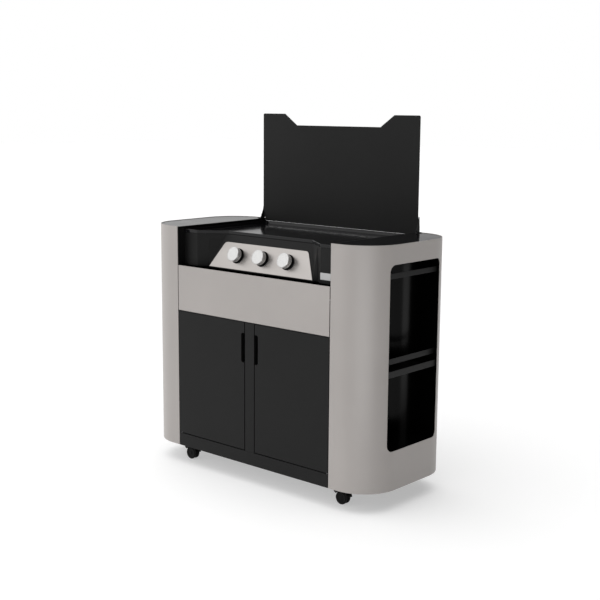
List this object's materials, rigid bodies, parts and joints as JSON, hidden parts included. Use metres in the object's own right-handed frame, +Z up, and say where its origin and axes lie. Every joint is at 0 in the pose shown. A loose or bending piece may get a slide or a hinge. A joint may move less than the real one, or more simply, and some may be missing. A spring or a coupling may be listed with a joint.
{
  "type": "gas barbecue grill",
  "caption": "Gas griddle barbecue on a rolling cabinet with rounded end units, open side niches, knobs on a leaning panel, a drawer, doors and a flat lid that folds down over the pan.",
  "frame": {"origin": "on the floor under the middle of the cabinet", "axes": "+Z up, +X towards the right end unit as seen from the front, -Y towards the cook, so the doors, drawer and knobs face -Y"},
  "size_m": [1.082, 0.4775, 1.3076],
  "materials": {
    "warm_grey_paint": "satin powder coat",
    "black_counter": "gloss black enamel",
    "black_paint": "fine matt black powder coat",
    "niche_black": "satin black",
    "griddle_enamel": "gloss enamelled griddle",
    "brushed_steel": "brushed stainless",
    "knob_chrome": "satin chrome",
    "galvanised": "galvanised sheet",
    "brass": "machined",
    "badge_grey": "satin, blank",
    "black_nylon": "moulded"
  },
  "bodies": {
    "cabinet": {"end_shell_left": "warm_grey_paint", "counter_top_left": "black_counter", "niche_liner_left": "niche_black", "niche_shelf_left": "black_paint", "niche_rail_middle_left": "black_paint", "niche_rail_upper_left": "black_paint", "bay_side_panel_left": "black_paint", "end_shell_right": "warm_grey_paint", "counter_top_right": "black_counter", "niche_liner_right": "niche_black", "niche_shelf_right": "black_paint", "niche_rail_middle_right": "black_paint", "niche_rail_upper_right": "black_paint", "bay_side_panel_right": "black_paint", "base_plate": "black_paint", "floor_pan": "black_paint", "back_panel": "black_paint", "bay_divider": "black_paint", "centre_post": "black_paint", "door_pin_left_lower": "galvanised", "door_pin_left_upper": "galvanised", "drawer_runner_left": "galvanised", "door_pin_right_lower": "galvanised", "door_pin_right_upper": "galvanised", "drawer_runner_right": "galvanised", "griddle_pan": "griddle_enamel", "control_apron": "black_paint", "badge_plate": "badge_grey", "firebox": "galvanised", "control_plate": "brushed_steel", "gas_manifold": "brass", "burner_left": "galvanised", "knob_bezel_left": "black_nylon", "burner_centre": "galvanised", "knob_bezel_centre": "black_nylon", "burner_right": "galvanised", "knob_bezel_right": "black_nylon", "lid_bracket_left": "black_paint", "caster_beam_left": "black_paint", "lid_bracket_right": "black_paint", "caster_beam_right": "black_paint"},
    "door_left": {"door_left": "black_paint"},
    "door_right": {"door_right": "black_paint"},
    "drawer": {"drawer_front": "warm_grey_paint", "drawer_box": "black_paint"},
    "lid": {"lid": "black_paint"},
    "valve_stem_left": {"valve_stem_left": "galvanised"},
    "knob_left": {"knob_left": "knob_chrome"},
    "valve_stem_centre": {"valve_stem_centre": "galvanised"},
    "knob_centre": {"knob_centre": "knob_chrome"},
    "valve_stem_right": {"valve_stem_right": "galvanised"},
    "knob_right": {"knob_right": "knob_chrome"},
    "caster_fork_front_left": {"caster_fork_front_left": "black_nylon"},
    "caster_wheels_front_left": {"caster_wheels_front_left": "black_nylon"},
    "caster_fork_rear_left": {"caster_fork_rear_left": "black_nylon"},
    "caster_wheels_rear_left": {"caster_wheels_rear_left": "black_nylon"},
    "caster_fork_front_right": {"caster_fork_front_right": "black_nylon"},
    "caster_wheels_front_right": {"caster_wheels_front_right": "black_nylon"},
    "caster_fork_rear_right": {"caster_fork_rear_right": "black_nylon"},
    "caster_wheels_rear_right": {"caster_wheels_rear_right": "black_nylon"}
  },
  "joints": [
    {"name": "lid_hinge", "type": "hinge", "parent": "cabinet", "child": "lid", "pos_m": [0, 0.2355, 0.907], "axis": [1, 0, 0], "range_deg": [0, 90]},
    {"name": "door_left_hinge", "type": "hinge", "parent": "cabinet", "child": "door_left", "pos_m": [-0.3573, -0.231, 0.35], "axis": [0, 0, -1], "range_deg": [0, 100]},
    {"name": "door_right_hinge", "type": "hinge", "parent": "cabinet", "child": "door_right", "pos_m": [0.3573, -0.231, 0.35], "axis": [0, 0, 1], "range_deg": [0, 100]},
    {"name": "drawer_slide", "type": "slide", "parent": "cabinet", "child": "drawer", "axis": [0, -1, 0], "range_m": [0, 0.3]},
    {"name": "knob_left_push", "type": "slide", "parent": "cabinet", "child": "valve_stem_left", "axis": [0, 0.925, -0.3799], "range_m": [0, 0.003], "stiffness_N_per_m": 1500, "springref_m": -0.001},
    {"name": "knob_left_turn", "type": "hinge", "parent": "valve_stem_left", "child": "knob_left", "pos_m": [-0.12, -0.17919, 0.81014], "axis": [0, -0.925, 0.3799], "range_deg": [0, 210]},
    {"name": "knob_centre_push", "type": "slide", "parent": "cabinet", "child": "valve_stem_centre", "axis": [0, 0.925, -0.3799], "range_m": [0, 0.003], "stiffness_N_per_m": 1500, "springref_m": -0.001},
    {"name": "knob_centre_turn", "type": "hinge", "parent": "valve_stem_centre", "child": "knob_centre", "pos_m": [0, -0.17919, 0.81014], "axis": [0, -0.925, 0.3799], "range_deg": [0, 210]},
    {"name": "knob_right_push", "type": "slide", "parent": "cabinet", "child": "valve_stem_right", "axis": [0, 0.925, -0.3799], "range_m": [0, 0.003], "stiffness_N_per_m": 1500, "springref_m": -0.001},
    {"name": "knob_right_turn", "type": "hinge", "parent": "valve_stem_right", "child": "knob_right", "pos_m": [0.12, -0.17919, 0.81014], "axis": [0, -0.925, 0.3799], "range_deg": [0, 210]},
    {"name": "caster_front_left_swivel", "type": "hinge", "parent": "cabinet", "child": "caster_fork_front_left", "pos_m": [-0.388, -0.163, 0.06], "axis": [0, 0, 1], "continuous": true},
    {"name": "caster_front_left_roll", "type": "hinge", "parent": "caster_fork_front_left", "child": "caster_wheels_front_left", "pos_m": [-0.372, -0.163, 0.023], "axis": [0, 1, 0], "continuous": true},
    {"name": "caster_rear_left_swivel", "type": "hinge", "parent": "cabinet", "child": "caster_fork_rear_left", "pos_m": [-0.388, 0.163, 0.06], "axis": [0, 0, 1], "continuous": true},
    {"name": "caster_rear_left_roll", "type": "hinge", "parent": "caster_fork_rear_left", "child": "caster_wheels_rear_left", "pos_m": [-0.372, 0.163, 0.023], "axis": [0, 1, 0], "continuous": true},
    {"name": "caster_front_right_swivel", "type": "hinge", "parent": "cabinet", "child": "caster_fork_front_right", "pos_m": [0.356, -0.163, 0.06], "axis": [0, 0, 1], "continuous": true},
    {"name": "caster_front_right_roll", "type": "hinge", "parent": "caster_fork_front_right", "child": "caster_wheels_front_right", "pos_m": [0.372, -0.163, 0.023], "axis": [0, 1, 0], "continuous": true},
    {"name": "caster_rear_right_swivel", "type": "hinge", "parent": "cabinet", "child": "caster_fork_rear_right", "pos_m": [0.356, 0.163, 0.06], "axis": [0, 0, 1], "continuous": true},
    {"name": "caster_rear_right_roll", "type": "hinge", "parent": "caster_fork_rear_right", "child": "caster_wheels_rear_right", "pos_m": [0.372, 0.163, 0.023], "axis": [0, 1, 0], "continuous": true}
  ]
}
